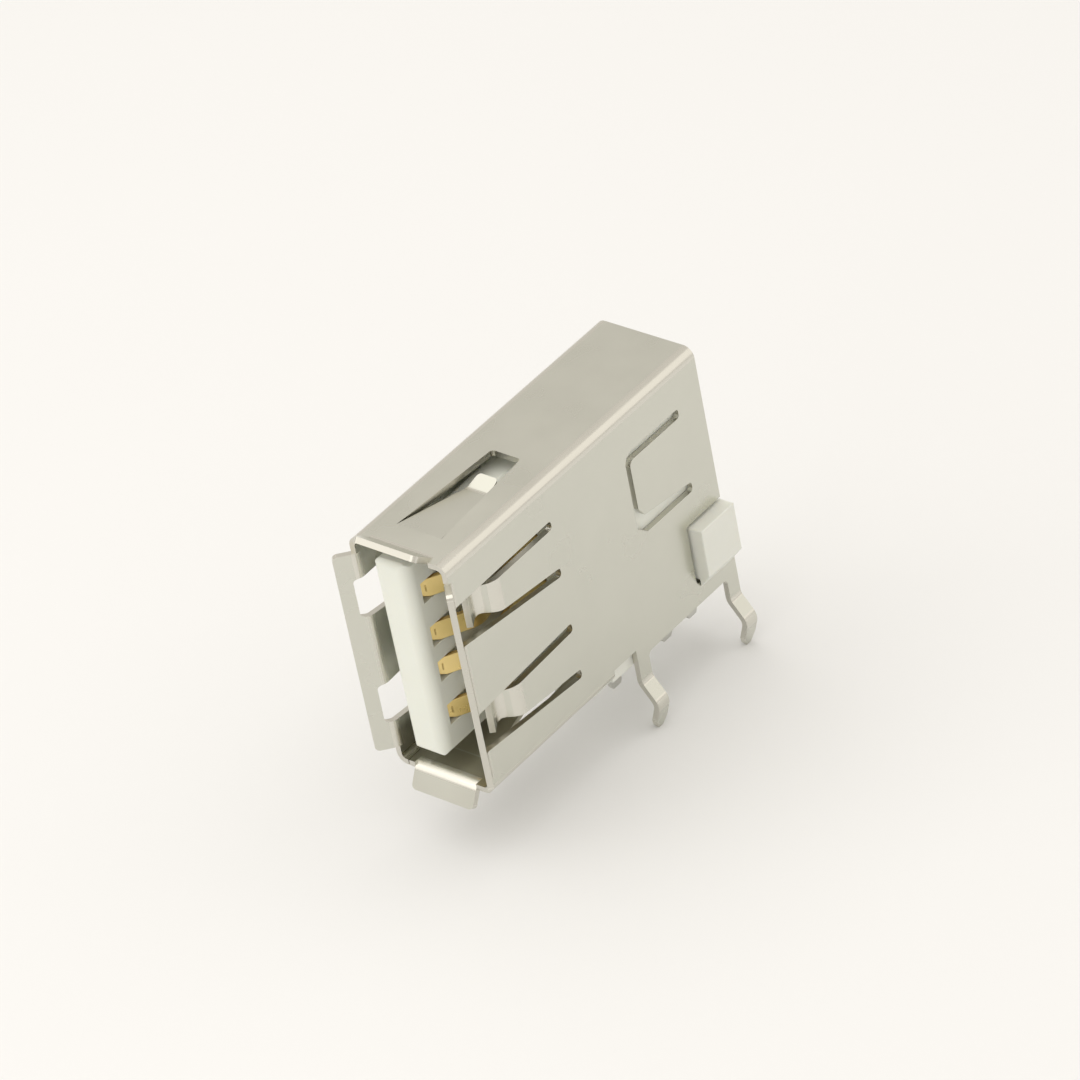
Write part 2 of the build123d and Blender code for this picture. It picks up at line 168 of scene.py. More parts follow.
def settle_normals(mesh):
    """Sets each corner's normal from the broadest flat regions around it."""
    work = bmesh.new()
    work.from_mesh(mesh)
    areas = {}
    for region in flat_regions(work):
        area = sum(face.calc_area() for face in region)
        areas.update((face.index, area) for face in region)
    normals = [Vector((0, 0, 1))] * len(mesh.loops)
    for corner in work.verts:
        for fan in smooth_fans(corner):
            broadest = max(areas[face.index] for face in fan)
            kept = [face for face in fan if areas[face.index] > BROAD_SHARE * broadest]
            normal = sum((face.normal * areas[face.index] for face in kept), Vector()).normalized()
            for face in fan:
                place = [loop.vert for loop in face.loops].index(corner)
                normals[mesh.polygons[face.index].loop_start + place] = normal
    work.free()
    mesh.normals_split_custom_set(normals)


work = bmesh.new()
work.from_mesh(shell.data)
print("flat regions of the shell:", sum(1 for region in flat_regions(work)))
work.free()

# %% [markdown]
# A sheet-metal part is never as sharp as a computer model: the punch rolls one edge over and the
# plating rounds the rest. Moving the corners by hand would do it, but Bevel is a modifier, so its
# width stays a number that can be tried, and a few hundredths of a millimetre are enough to catch a
# line of light. Reading the evaluated object back gives a plain mesh, and the modifier goes.

# %% Roll the edges of the shell
def apply_modifiers(piece):
    """Replaces the piece's mesh with the evaluated one, takes its modifiers off and returns the mesh."""
    evaluated = piece.evaluated_get(bpy.context.evaluated_depsgraph_get())
    mesh = bpy.data.meshes.new_from_object(evaluated)
    piece.modifiers.clear()
    piece.data = mesh
    return mesh


def soften(piece, width, segments):
    """Rounds the sharp edges of a piece by a width in millimetres."""
    bevel = piece.modifiers.new("rolled edges", "BEVEL")
    bevel.width = width * MM
    bevel.segments = segments
    bevel.limit_method = "ANGLE"
    bevel.angle_limit = SHARP
    bevel.use_clamp_overlap = True
    bevel.harden_normals = False
    mesh = apply_modifiers(piece)
    settle_normals(mesh)
    print(piece.name, "softened:", len(mesh.vertices), "corners,", len(mesh.polygons), "faces")


soften(shell, width=0.05, segments=2)

# %% [markdown]
# Every opening in the sheet shows a sheared edge: a burnished line where the punch slid and a
# duller band where the steel broke. The finish has to know where those edges are. They could be
# picked by hand, face by face, but a measurement finds them all: from a point on a broad face the
# far side of the sheet is one sheet away, and from a point on a cut edge it is much further. So a
# ray goes inwards from each face, and the answer is stored on the mesh, where a material can read
# it.

# %% Mark the sheared edges of the shell
SHEET = 0.30 * MM
START_DEPTH = 0.05
THROUGH = 1.15


def inner_points(mesh):
    """Point that surely lies on each face, by face index: the middle of its largest triangle."""
    mesh.calc_loop_triangles()
    points = {}
    for triangle in sorted(mesh.loop_triangles, key=lambda item: item.area):
        corners = [mesh.vertices[i].co for i in triangle.vertices]
        points[triangle.polygon_index] = sum(corners, Vector()) / 3
    return points


def ray_target(mesh):
    """Search tree of a mesh that rays can be cast at."""
    return BVHTree.FromPolygons([v.co for v in mesh.vertices], [p.vertices[:] for p in mesh.polygons])


def store_marks(piece, name, marks):
    """Stores one number for each face of a piece, under a name that a material can read."""
    piece.data.attributes.new(name, "FLOAT", "FACE").data.foreach_set("value", marks)
    print(piece.name, name, "faces:", round(sum(marks)), "of", len(marks))


def mark_sheared(piece, sheet):
    """Marks the faces whose far side is further than the sheet is thick."""
    mesh = piece.data
    target = ray_target(mesh)
    points = inner_points(mesh)
    marks = []
    for face in mesh.polygons:
        start = points[face.index] - face.normal * sheet * START_DEPTH
        distance = target.ray_cast(start, -face.normal)[3]
        marks.append(float(distance is None or distance > THROUGH * sheet))
    store_marks(piece, "sheared", marks)


mark_sheared(shell, SHEET)

# %% [markdown]
# The inside of the shell gets less light than its outside, so its faces are painted darker and
# more olive: a painted shade. The inner faces could be told by their place, but fingers and lips
# lie on both sides of the walls. So a face counts as inside when most of the rays that leave it meet
# metal within a few millimetres. The rays follow a spiral over the half sphere in front of the face,
# which spreads them evenly. Faces of one flat region share one answer, weighed by their areas, so
# that no tone changes in the middle of a wall.

# %% Mark the inside of the shell for its painted shade
GOLDEN_ANGLE = math.pi * (3 - math.sqrt(5))
START_HEIGHT = 0.02 * MM
LEAST_AREA = 1e-12


def spiral_rays(count):
    """Directions spread evenly over the half sphere around +Z."""
    rays = []
    for step in range(count):
        height = (step + 0.5) / count
        ring = math.sqrt(1 - height * height)
        angle = step * GOLDEN_ANGLE
        rays.append(Vector((ring * math.cos(angle), ring * math.sin(angle), height)))
    return rays


def mark_enclosed(piece, reach, rays, share):
    """Marks the faces from which more than a share of the rays meet the piece within a reach."""
    mesh = piece.data
    target = ray_target(mesh)
    points = inner_points(mesh)
    met = []
    for face in mesh.polygons:
        turn = face.normal.to_track_quat("Z", "Y")
        start = points[face.index] + face.normal * START_HEIGHT
        hits = [target.ray_cast(start, turn @ ray, reach)[0] for ray in rays]
        met.append(sum(hit is not None for hit in hits) / len(rays))
    marks = [0.0] * len(mesh.polygons)
    work = bmesh.new()
    work.from_mesh(mesh)
    for region in flat_regions(work):
        area = sum(face.calc_area() for face in region)
        closed = sum(face.calc_area() * met[face.index] for face in region) / max(area, LEAST_AREA)
        for face in region:
            marks[face.index] = float(closed > share)
    work.free()
    store_marks(piece, "enclosed_shade", marks)


# This mask later paints the inside darker and more olive: a painted shade.
mark_enclosed(shell, reach=14 * MM, rays=spiral_rays(32), share=0.7)

# %% [markdown]
# The bends of the sheet are painted brighter, a painted highlight, and given a smoother finish. A
# curvature map would show the bends, but the normals tell it already: the facets of a bend are
# those whose corners lean a little away from the facet itself. On a flat wall they do not lean at
# all, and on a rolled edge far more.

# %% Mark the bends of the shell
def mark_bent(piece, least, most):
    """Marks the faces whose corner normals lean away from the face by an angle between two limits."""
    mesh = piece.data
    marks = []
    for face in mesh.polygons:
        leans = [mesh.corner_normals[i].vector.angle(face.normal, 0) for i in face.loop_indices]
        marks.append(float(least < sum(leans) / len(leans) < most))
    store_marks(piece, "bent", marks)


# This mask later paints the bends brighter, a painted highlight, and makes them smoother.
mark_bent(shell, least=math.radians(1.5), most=math.radians(14))

# %% [markdown]
# The housing and the tail guide are moulded, and a mould cannot hold a sharp corner. Their edges
# are softened by the same helper as the shell's, only rounder: three segments, and a wider bevel on
# the guide.

# %% Soften the mouldings
housing = merged_copy("housing")
soften(housing, width=0.05, segments=3)
tail_guide = merged_copy("tail_guide")
soften(tail_guide, width=0.10, segments=3)

# %% [markdown]
# Each contact is a stamped strip: a bow over the tongue, a bar into the base, a turn, and a tail
# through the board. It could be cut from its solid, but a path with a profile swept along it is
# what Geometry Nodes are good at, and one tree serves all four. The path is a line of points, and
# each point carries two numbers: how round its bend is and how wide the strip is there. That keeps
# the taper of the nose and the tail out of the tree.

# %% The path of one contact
CONTACT_THICK = 0.25
CONTACT_WIDE = 1.00
TAIL_SHARE = 0.80
NOSE_GAP = 0.07


def contact_stations(node):
    """Points of a contact's middle in mm, each with a bend radius and a share of the full width."""
    low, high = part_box(node)
    row = high.z / MM - CONTACT_WIDE / 2
    back = high.y / MM - TAIL_SHARE * CONTACT_WIDE / 2
    tip = low.z / MM
    nose = low.y / MM + NOSE_GAP
    return [
        ((-0.37, nose, row), 0, 0.66),  # end of the nose
        ((-0.08, nose + 0.45, row), 0, 1.0),  # shoulder of the nose
        ((1.05, nose + 2.20, row), 1.2, 1.0),  # top of the bow
        ((0.00, nose + 6.20, row), 1.2, 1.0),  # foot of the bow
        ((0.00, back - 0.72, row), 0, 1.0),  # end of the bar
        ((0.00, back, row), 0.62, 0.9),  # turn
        ((0.00, back, row - 1.4), 0, TAIL_SHARE),  # top of the tail
        ((0.00, back, tip + 0.22), 0, TAIL_SHARE),  # start of the tail's point
        ((0.00, back, tip), 0, 0.56),  # tip of the tail
    ]


def contact_path(node):
    """Mesh line through a contact's stations, in metres, with their bends and widths on its points."""
    stations = contact_stations(node)
    mesh = bpy.data.meshes.new(node + "_strip")
    points = [Vector(place) * MM for place, bend, share in stations]
    mesh.from_pydata(points, [(i, i + 1) for i in range(len(points) - 1)], [])
    for name, values in (
        ("bend", [bend * MM for place, bend, share in stations]),
        ("width", [share for place, bend, share in stations]),
    ):
        mesh.attributes.new(name, "FLOAT", "POINT").data.foreach_set("value", values)
    piece = bpy.data.objects.new(node + "_strip", mesh)
    bpy.context.scene.collection.objects.link(piece)
    return piece


strips = [contact_path(f"contact_{i}") for i in range(1, 5)]
print("paths:", [piece.name for piece in strips])

# %% [markdown]
# A node tree can be drawn by hand in the editor, but a tree written in code is the same on every
# run. Three short helpers keep that code readable: one adds a node with its settings, one links two
# sockets, and one opens a group with named sockets. Geometry and shader trees share them.

# %% Helpers for node trees
def add_node(tree, kind, **settings):
    """Adds a node and sets its properties and, for names with an initial capital, its input values."""
    made = tree.nodes.new(kind)
    for name, value in settings.items():
        if name[0].isupper():
            made.inputs[name.replace("_", " ")].default_value = value
        else:
            setattr(made, name, value)
    return made


def wire(tree, source, target):
    """Links an output socket to an input socket."""
    tree.links.new(source, target)


def open_tree(name, kind, inputs, outputs):
    """Makes a node group with named sockets and returns it with its input and output nodes."""
    tree = bpy.data.node_groups.new(name, kind)
    for direction, sockets in (("INPUT", inputs), ("OUTPUT", outputs)):
        for label, socket_type, value in sockets:
            made = tree.interface.new_socket(name=label, in_out=direction, socket_type=socket_type)
            if value is not None:
                made.default_value = value
    return tree, tree.nodes.new("NodeGroupInput"), tree.nodes.new("NodeGroupOutput")


print("node helpers:", add_node.__name__, wire.__name__, open_tree.__name__)

# %% [markdown]
# A real strip is cut flat and then bent, so its section stays a rectangle all the way. The tree
# does the same: it turns the line into a curve, rounds its bends, and sweeps a rectangle along it.
# The middle of the strip is remembered before the sweep, because afterwards only the skin is left.

# %% Tree, first part: sweep the strip
strip_tree, given, result = open_tree(
    "swept strip",
    "GeometryNodeTree",
    [
        ("Geometry", "NodeSocketGeometry", None),
        ("Width", "NodeSocketFloat", CONTACT_WIDE * MM),
        ("Thickness", "NodeSocketFloat", CONTACT_THICK * MM),
        ("Bend Steps", "NodeSocketInt", 10),
        ("Coin Place", "NodeSocketVector", None),
        ("Coin Slope", "NodeSocketVector", None),
        ("Coin Size", "NodeSocketVector", None),
        ("Material", "NodeSocketMaterial", None),
    ],
    [("Geometry", "NodeSocketGeometry", None)],
)
to_curve = add_node(strip_tree, "GeometryNodeMeshToCurve")
fillet = add_node(strip_tree, "GeometryNodeFilletCurve", mode="POLY")
bend = add_node(strip_tree, "GeometryNodeInputNamedAttribute", data_type="FLOAT", Name="bend")
middle = add_node(strip_tree, "GeometryNodeStoreNamedAttribute", data_type="FLOAT_VECTOR", Name="middle")
middle.domain = "POINT"
place = add_node(strip_tree, "GeometryNodeInputPosition")
profile = add_node(strip_tree, "GeometryNodeCurvePrimitiveQuadrilateral")
sweep = add_node(strip_tree, "GeometryNodeCurveToMesh", Fill_Caps=True)
wire(strip_tree, given.outputs["Geometry"], to_curve.inputs["Mesh"])
wire(strip_tree, to_curve.outputs["Curve"], fillet.inputs["Curve"])
wire(strip_tree, bend.outputs["Attribute"], fillet.inputs["Radius"])
wire(strip_tree, given.outputs["Bend Steps"], fillet.inputs["Count"])
wire(strip_tree, fillet.outputs["Curve"], middle.inputs["Geometry"])
wire(strip_tree, place.outputs["Position"], middle.inputs["Value"])
wire(strip_tree, given.outputs["Thickness"], profile.inputs["Width"])
wire(strip_tree, given.outputs["Width"], profile.inputs["Height"])
wire(strip_tree, middle.outputs["Geometry"], sweep.inputs["Curve"])
wire(strip_tree, profile.outputs["Curve"], sweep.inputs["Profile Curve"])
print("swept strip:", len(strip_tree.nodes), "nodes so far")

# %% [markdown]
# The strip is narrower at its nose and along its tail. A curve's radius would thin the metal too,
# which no punch does. So the skin is pulled towards the remembered middle along Y and Z only, by
# the share that each point asks for, and the thickness along X stays whole.

# %% Tree, second part: squeeze the width
share = add_node(strip_tree, "GeometryNodeInputNamedAttribute", data_type="FLOAT", Name="width")
kept_middle = add_node(strip_tree, "GeometryNodeInputNamedAttribute", Name="middle")
kept_middle.data_type = "FLOAT_VECTOR"
offset = add_node(strip_tree, "ShaderNodeVectorMath", operation="SUBTRACT")
shares = add_node(strip_tree, "ShaderNodeCombineXYZ", X=1.0)
squeezed = add_node(strip_tree, "ShaderNodeVectorMath", operation="MULTIPLY")
moved = add_node(strip_tree, "ShaderNodeVectorMath", operation="ADD")
squeeze = add_node(strip_tree, "GeometryNodeSetPosition")
wire(strip_tree, place.outputs["Position"], offset.inputs[0])
wire(strip_tree, kept_middle.outputs["Attribute"], offset.inputs[1])
wire(strip_tree, share.outputs["Attribute"], shares.inputs["Y"])
wire(strip_tree, share.outputs["Attribute"], shares.inputs["Z"])
wire(strip_tree, offset.outputs["Vector"], squeezed.inputs[0])
wire(strip_tree, shares.outputs["Vector"], squeezed.inputs[1])
wire(strip_tree, kept_middle.outputs["Attribute"], moved.inputs[0])
wire(strip_tree, squeezed.outputs["Vector"], moved.inputs[1])
wire(strip_tree, sweep.outputs["Mesh"], squeeze.inputs["Geometry"])
wire(strip_tree, moved.outputs["Vector"], squeeze.inputs["Position"])
print("swept strip:", len(strip_tree.nodes), "nodes so far")

# %% [markdown]
# A small ridge is coined across each nose. It could be cut into the strip, but a thin block sunk
# into the surface gives the same line of light and keeps the sweep simple. The block joins the
# strip, and the tree ends by making everything real geometry with its material on.

# %% Tree, last part: the coined ridge
ridge = add_node(strip_tree, "GeometryNodeMeshCube")
laid = add_node(strip_tree, "GeometryNodeTransform")
together = add_node(strip_tree, "GeometryNodeJoinGeometry")
realize = add_node(strip_tree, "GeometryNodeRealizeInstances")
dress = add_node(strip_tree, "GeometryNodeSetMaterial")
wire(strip_tree, given.outputs["Coin Size"], ridge.inputs["Size"])
wire(strip_tree, ridge.outputs["Mesh"], laid.inputs["Geometry"])
wire(strip_tree, given.outputs["Coin Place"], laid.inputs["Translation"])
wire(strip_tree, given.outputs["Coin Slope"], laid.inputs["Rotation"])
wire(strip_tree, laid.outputs["Geometry"], together.inputs["Geometry"])
wire(strip_tree, squeeze.outputs["Geometry"], together.inputs["Geometry"])
wire(strip_tree, together.outputs["Geometry"], realize.inputs["Geometry"])
wire(strip_tree, realize.outputs["Geometry"], dress.inputs["Geometry"])
wire(strip_tree, given.outputs["Material"], dress.inputs["Material"])
wire(strip_tree, dress.outputs["Geometry"], result.inputs["Geometry"])
print("swept strip:", len(strip_tree.nodes), "nodes")

# %% [markdown]
# The four strips differ only in their paths. A live modifier would keep them editable, but an
# exported piece has to be a plain mesh, so each result is read back and the modifier goes. A
# modifier's inputs are set through each socket's identifier, which the interface lists. Then the
# edges are softened like the shell's.

# %% Bake the four contacts
COIN_SIZE = (0.06, 0.07, 0.36)
COIN_SHARE = 0.75


def run_tree(piece, tree, values):
    """Runs a geometry tree on a piece with the given input values and keeps the result as its mesh."""
    modifier = piece.modifiers.new(tree.name, "NODES")
    modifier.node_group = tree
    sockets = {item.name: item.identifier for item in tree.interface.items_tree if item.in_out == "INPUT"}
    for name, value in values.items():
        modifier[sockets[name]] = value
    return apply_modifiers(piece)


def flip_outwards(mesh):
    """Turns the faces of a closed mesh outwards and shades them smooth up to the sharp angle."""
    work = bmesh.new()
    work.from_mesh(mesh)
    bmesh.ops.remove_doubles(work, verts=work.verts, dist=SAME_CORNER)
    bmesh.ops.recalc_face_normals(work, faces=work.faces)
    for face in work.faces:
        face.smooth = True
    for edge in work.edges:
        edge.smooth = edge.calc_face_angle(0) < SHARP
    work.to_mesh(mesh)
    work.free()


contact_metal = bpy.data.materials.new("gilt contact strip")
for strip in strips:
    nose, shoulder = (strip.data.vertices[i].co for i in (0, 1))
    slope = math.atan2(shoulder.y - nose.y, shoulder.x - nose.x)
    out = Vector((math.sin(slope), -math.cos(slope), 0)) * CONTACT_THICK / 2 * MM
    sizes = {
        "Width": CONTACT_WIDE * MM,
        "Thickness": CONTACT_THICK * MM,
        "Coin Place": nose.lerp(shoulder, COIN_SHARE) + out,
        "Coin Slope": (0, 0, slope - math.pi / 2),
        "Coin Size": Vector(COIN_SIZE) * MM,
        "Material": contact_metal,
    }
    flip_outwards(run_tree(strip, strip_tree, sizes))
    soften(strip, width=0.03, segments=2)
    mark_sheared(strip, CONTACT_THICK * MM)

# %% [markdown]
# The pins that push a moulding out of its mould leave a ring each, and four of them show on the
# flat back of the housing. A bump in the material could fake them, but a visible shape is better
# made as geometry. The tree sweeps a thin rim round a circle and sets one ring on every point that
# it is given.

# %% Tree of the pin rings
RING_RADIUS = 0.55
RIM_RADIUS = 0.03

ring_tree, given, result = open_tree(
    "pin rings",
    "GeometryNodeTree",
    [
        ("Geometry", "NodeSocketGeometry", None),
        ("Ring Radius", "NodeSocketFloat", RING_RADIUS * MM),
        ("Rim Radius", "NodeSocketFloat", RIM_RADIUS * MM),
        ("Material", "NodeSocketMaterial", None),
    ],
    [("Geometry", "NodeSocketGeometry", None)],
)
ring = add_node(ring_tree, "GeometryNodeCurvePrimitiveCircle", Resolution=48)
rim = add_node(ring_tree, "GeometryNodeCurvePrimitiveCircle", Resolution=8)
swept = add_node(ring_tree, "GeometryNodeCurveToMesh")
upright = add_node(ring_tree, "GeometryNodeTransform", Rotation=(math.pi / 2, 0, 0))
placed = add_node(ring_tree, "GeometryNodeInstanceOnPoints")
realize = add_node(ring_tree, "GeometryNodeRealizeInstances")
dress = add_node(ring_tree, "GeometryNodeSetMaterial")
wire(ring_tree, given.outputs["Ring Radius"], ring.inputs["Radius"])
wire(ring_tree, given.outputs["Rim Radius"], rim.inputs["Radius"])
wire(ring_tree, ring.outputs["Curve"], swept.inputs["Curve"])
wire(ring_tree, rim.outputs["Curve"], swept.inputs["Profile Curve"])
wire(ring_tree, swept.outputs["Mesh"], upright.inputs["Geometry"])
wire(ring_tree, upright.outputs["Geometry"], placed.inputs["Instance"])
wire(ring_tree, given.outputs["Geometry"], placed.inputs["Points"])
wire(ring_tree, placed.outputs["Instances"], realize.inputs["Geometry"])
wire(ring_tree, realize.outputs["Geometry"], dress.inputs["Geometry"])
wire(ring_tree, given.outputs["Material"], dress.inputs["Material"])
wire(ring_tree, dress.outputs["Geometry"], result.inputs["Geometry"])
print("pin rings:", len(ring_tree.nodes), "nodes")

# %% [markdown]
# The rings sit in two columns and two rows, clear of the slot for the rear contact. Fixed numbers
# would do, but their points come from the box of the housing, so that the rings stay on its back
# when it changes.

# %% Pin rings on the back of the housing
RING_COLUMNS = (-0.58, 0.58)
RING_ROWS = (0.42, 0.86)

low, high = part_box("housing")
points = [
    (column * high.x, high.y, low.z + row * (high.z - low.z))
    for column in RING_COLUMNS
    for row in RING_ROWS
]
mesh = bpy.data.meshes.new("pin_rings")
mesh.from_pydata(points, [], [])
pin_rings = bpy.data.objects.new("pin_rings", mesh)
bpy.context.scene.collection.objects.link(pin_rings)
insulator = bpy.data.materials.new("white moulding")
sizes = {"Ring Radius": RING_RADIUS * MM, "Rim Radius": RIM_RADIUS * MM, "Material": insulator}
flip_outwards(run_tree(pin_rings, ring_tree, sizes))
print("pin rings:", len(points))

# %% [markdown]
# Plated steel and moulded plastic share one thing: seen close, neither is one even tone. Broad soft
# clouds drift over the surface, and a fine grain breaks up each reflection. A picture could hold
# both, but noise has no seams and no end. One shader group makes both from Object coordinates, so
# they keep their scale on every piece, and each material asks for its own sizes.

# %% Shader group: clouds and grain
def pattern_scale(tree, size):
    """Scale that gives a pattern the size in metres that a socket holds."""
    scale = add_node(tree, "ShaderNodeMath", operation="DIVIDE")
    scale.inputs[0].default_value = 1.0
    wire(tree, size, scale.inputs[1])
    return scale.outputs["Value"]


cloud_tree, given, result = open_tree(
    "clouds and grain",
    "ShaderNodeTree",
    [("Cloud Size", "NodeSocketFloat", 3.0 * MM), ("Grain Size", "NodeSocketFloat", 0.08 * MM)],
    [("Cloud", "NodeSocketFloat", None), ("Grain", "NodeSocketFloat", None)],
)
coordinates = add_node(cloud_tree, "ShaderNodeTexCoord")
for size, detail, output in (("Cloud Size", 3.0, "Cloud"), ("Grain Size", 2.0, "Grain")):
    noise = add_node(cloud_tree, "ShaderNodeTexNoise", Detail=detail, Roughness=0.55)
    wire(cloud_tree, coordinates.outputs["Object"], noise.inputs["Vector"])
    wire(cloud_tree, pattern_scale(cloud_tree, given.outputs[size]), noise.inputs["Scale"])
    wire(cloud_tree, noise.outputs["Fac"], result.inputs[output])
print("group:", cloud_tree.name)

# %% [markdown]
# Metal strip is rolled before it is stamped, and the rolls leave faint lines along it. Handling
# then adds a few fine scratches that run any way. Both are stretched noise here: the lines lie
# along the socket's length, and the scratches in two crossed directions, cut off so high that only
# a few of them remain.

# %% Shader group: rolling lines and fine scratches
LINE_STRETCH = (1.0, 0.02, 1.0)
SCRATCH_TOP = 0.86
SCRATCH_SCALE = 300
SCRATCH_WAYS = (
    ((0.5, 0.3, 0.9), (30.0, 1.0, 30.0)),
    ((-0.7, 0.5, -0.6), (1.0, 34.0, 34.0)),
)

line_tree, given, result = open_tree(
    "rolled and handled",
    "ShaderNodeTree",
    [("Line Size", "NodeSocketFloat", 0.05 * MM), ("Scratch Share", "NodeSocketFloat", 0.2)],
    [("Lines", "NodeSocketFloat", None), ("Scratches", "NodeSocketFloat", None)],
)
coordinates = add_node(line_tree, "ShaderNodeTexCoord")
stretch = add_node(line_tree, "ShaderNodeMapping", Scale=LINE_STRETCH)
lines = add_node(line_tree, "ShaderNodeTexNoise", Detail=2.0)
wire(line_tree, coordinates.outputs["Object"], stretch.inputs["Vector"])
wire(line_tree, stretch.outputs["Vector"], lines.inputs["Vector"])
wire(line_tree, pattern_scale(line_tree, given.outputs["Line Size"]), lines.inputs["Scale"])
wire(line_tree, lines.outputs["Fac"], result.inputs["Lines"])

threshold = add_node(line_tree, "ShaderNodeMath", operation="SUBTRACT")
threshold.inputs[0].default_value = SCRATCH_TOP
wire(line_tree, given.outputs["Scratch Share"], threshold.inputs[1])
both = add_node(line_tree, "ShaderNodeMath", operation="MAXIMUM")
for way, (turn, stretches) in enumerate(SCRATCH_WAYS):
    scales = tuple(s * SCRATCH_SCALE for s in stretches)
    slant = add_node(line_tree, "ShaderNodeMapping", Rotation=turn, Scale=scales)
    noise = add_node(line_tree, "ShaderNodeTexNoise", Scale=1.0, Detail=1.0)
    cut = add_node(line_tree, "ShaderNodeMath", operation="GREATER_THAN")
    wire(line_tree, coordinates.outputs["Object"], slant.inputs["Vector"])
    wire(line_tree, slant.outputs["Vector"], noise.inputs["Vector"])
    wire(line_tree, noise.outputs["Fac"], cut.inputs[0])
    wire(line_tree, threshold.outputs["Value"], cut.inputs[1])
    wire(line_tree, cut.outputs["Value"], both.inputs[way])
wire(line_tree, both.outputs["Value"], result.inputs["Scratches"])
print("group:", line_tree.name)

# %% [markdown]
# A material needs the same few moves again and again: blend two colours by a mask, send a mask into
# a range, and stack bumps. Written out, they would fill each material with node code. These helpers
# make each move one line, and every mask still comes from a group or from a mark on the mesh.

# %% Helpers for materials
MIX_FIRST, MIX_SECOND, MIX_COLOUR = 6, 7, 2


def new_material(material, name):
    """Names a material, clears its tree and returns the tree and its shader."""
    material.name = name
    material.use_nodes = True
    tree = material.node_tree
    tree.nodes.clear()
    shader = add_node(tree, "ShaderNodeBsdfPrincipled")
    output = add_node(tree, "ShaderNodeOutputMaterial")
    wire(tree, shader.outputs["BSDF"], output.inputs["Surface"])
    return tree, shader


def place_group(tree, group, **values):
    """Places a shader group with its own input values."""
    return add_node(tree, "ShaderNodeGroup", node_tree=group, **values)


def read_mark(tree, name):
    """Mask that was stored on the faces of the mesh."""
    return add_node(tree, "ShaderNodeAttribute", attribute_name=name).outputs["Fac"]


def blend(tree, mask, first, second):
    """Colour that goes from the first to the second as the mask goes from 0 to 1."""
    mix = add_node(tree, "ShaderNodeMix", data_type="RGBA")
    wire(tree, mask, mix.inputs["Factor"])
    for socket, colour in ((mix.inputs[MIX_FIRST], first), (mix.inputs[MIX_SECOND], second)):
        if isinstance(colour, tuple):
            socket.default_value = (*colour, 1.0)
        else:
            wire(tree, colour, socket)
    return mix.outputs[MIX_COLOUR]


def spread(tree, mask, low, high, start=0.3, end=0.7):
    """Number that goes from low to high as the mask goes from start to end."""
    ranged = add_node(tree, "ShaderNodeMapRange", From_Min=start, From_Max=end, To_Min=low, To_Max=high)
    wire(tree, mask, ranged.inputs["Value"])
    return ranged.outputs["Result"]


def multiply_add(tree, value, factor, addend):
    """Number that is the value times a fixed factor, plus another number."""
    total = add_node(tree, "ShaderNodeMath", operation="MULTIPLY_ADD")
    total.inputs[1].default_value = factor
    wire(tree, value, total.inputs[0])
    wire(tree, addend, total.inputs[2])
    return total.outputs["Value"]


def raise_bump(tree, height, distance, strength, below=None):
    """Bump from a height in millimetres, on top of another bump where one is given."""
    bump = add_node(tree, "ShaderNodeBump", Strength=strength, Distance=distance * MM)
    wire(tree, height, bump.inputs["Height"])
    if below is not None:
        wire(tree, below, bump.inputs["Normal"])
    return bump.outputs["Normal"]


print("material helpers:", place_group.__name__, blend.__name__, spread.__name__, raise_bump.__name__)

# %% [markdown]
# The shell is plated steel with a satin skin. Its colour is a warm grey, because tin and nickel
# both take a little blue out of the light, and two shades of it drift over the walls. The sheared
# edges show a little bare steel. The bends are painted brighter as a painted highlight and made
# smoother, and the inside is painted darker and more olive as a painted shade. One grey with a bump
# would read as paint, so the marks on the mesh steer both colour and gloss. Metallic stays at 1, so
# the rest of the look comes from what the surface reflects.

# %% Plated steel
PLATE_DARK = (0.60, 0.60, 0.535)
PLATE_LIGHT = (0.675, 0.675, 0.605)
PLATE_CUT = (0.62, 0.605, 0.545)
# Brighter colour of the bends: a painted highlight.
PLATE_BEND_HIGHLIGHT = (0.69, 0.675, 0.61)
# Darker, more olive colour of the inside: a painted shade.
PLATE_PAINTED_SHADE = (0.54, 0.52, 0.43)
RUBBED_GLOSS = -0.06

shell_plate = nodes["shell"].data.materials[0].copy()
tree, shader = new_material(shell_plate, "satin plated steel")
clouds = place_group(tree, cloud_tree, Cloud_Size=4.5 * MM, Grain_Size=0.07 * MM)
rolled = place_group(tree, line_tree, Line_Size=0.06 * MM, Scratch_Share=0.12)
bend = read_mark(tree, "bent")
skin = blend(tree, clouds.outputs["Cloud"], PLATE_DARK, PLATE_LIGHT)
edged = blend(tree, read_mark(tree, "sheared"), skin, PLATE_CUT)
# Bends painted brighter: a painted highlight.
bend_highlit = blend(tree, bend, edged, PLATE_BEND_HIGHLIGHT)
# Inside painted darker and more olive: a painted shade.
plate = blend(tree, read_mark(tree, "enclosed_shade"), bend_highlit, PLATE_PAINTED_SHADE)
satin_gloss = spread(tree, clouds.outputs["Cloud"], 0.25, 0.34)
satin = raise_bump(tree, clouds.outputs["Grain"], 0.004, 0.25)
streaked = raise_bump(tree, rolled.outputs["Lines"], 0.003, 0.2, satin)
scratched = raise_bump(tree, rolled.outputs["Scratches"], -0.002, 0.12, streaked)
wire(tree, plate, shader.inputs["Base Color"])
wire(tree, multiply_add(tree, bend, RUBBED_GLOSS, satin_gloss), shader.inputs["Roughness"])
wire(tree, scratched, shader.inputs["Normal"])
shader.inputs["Metallic"].default_value = 1.0
print("material:", shell_plate.name)
